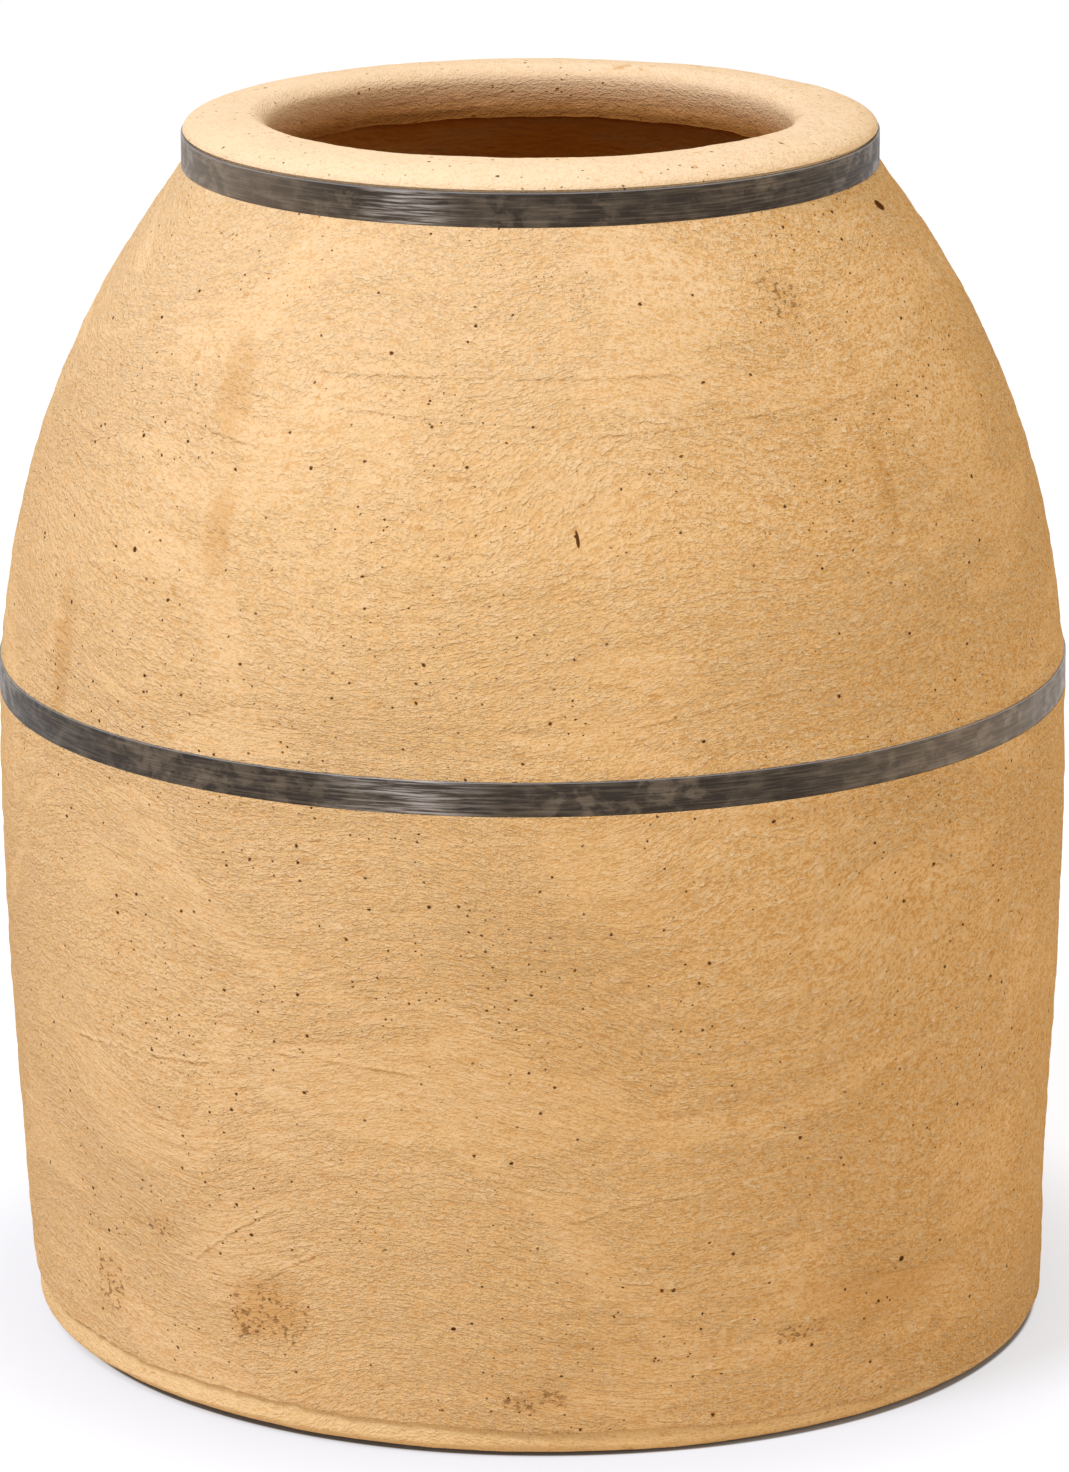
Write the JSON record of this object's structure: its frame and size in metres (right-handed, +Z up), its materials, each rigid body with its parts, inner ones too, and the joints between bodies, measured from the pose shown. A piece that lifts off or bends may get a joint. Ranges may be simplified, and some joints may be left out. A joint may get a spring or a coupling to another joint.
{
  "type": "clay tandoor oven",
  "caption": "Free-standing clay tandoor: bulging clay pot with a rolled open mouth, bound by riveted flat steel hoops, with a rod grate, an ash vent and a pull-out clay stopper.",
  "frame": {"origin": "centre of the flat underside, on the pot's own axis", "axes": "+Z up along the pot's axis, +Y towards the back, where the vent is, so -Y is the plain side that the picture shows"},
  "size_m": [0.6546, 0.6765, 0.749],
  "materials": {
    "clay": "unglazed straw-tempered clay, hand wiped, matt and pitted",
    "pale_clay": "unglazed clay rubbed smooth, matt, paler than the wall",
    "hoop_steel": "mild steel flat bar in dark mill scale, lightly rubbed",
    "grate_iron": "round iron bar, scaled and sooty"
  },
  "bodies": {
    "pot": {"hearth_floor": "clay", "lower_wall": "clay", "upper_wall": "clay", "mouth_ring": "pale_clay", "belly_hoop": "hoop_steel", "belly_hoop_rivet_1": "hoop_steel", "belly_hoop_rivet_2": "hoop_steel", "neck_hoop": "hoop_steel", "neck_hoop_rivet_1": "hoop_steel", "neck_hoop_rivet_2": "hoop_steel", "grate_rod_1": "grate_iron", "grate_rod_2": "grate_iron", "grate_rod_3": "grate_iron", "grate_rod_4": "grate_iron", "grate_rod_5": "grate_iron", "grate_rod_6": "grate_iron", "grate_rod_7": "grate_iron", "grate_rod_8": "grate_iron", "grate_rod_9": "grate_iron", "grate_rod_10": "grate_iron", "grate_rod_11": "grate_iron"},
    "stopper": {"vent_stopper": "clay"}
  },
  "joints": [
    {"name": "stopper_pull", "type": "slide", "parent": "pot", "child": "stopper", "axis": [0, 1, 0], "range_m": [0, 0.09]}
  ]
}
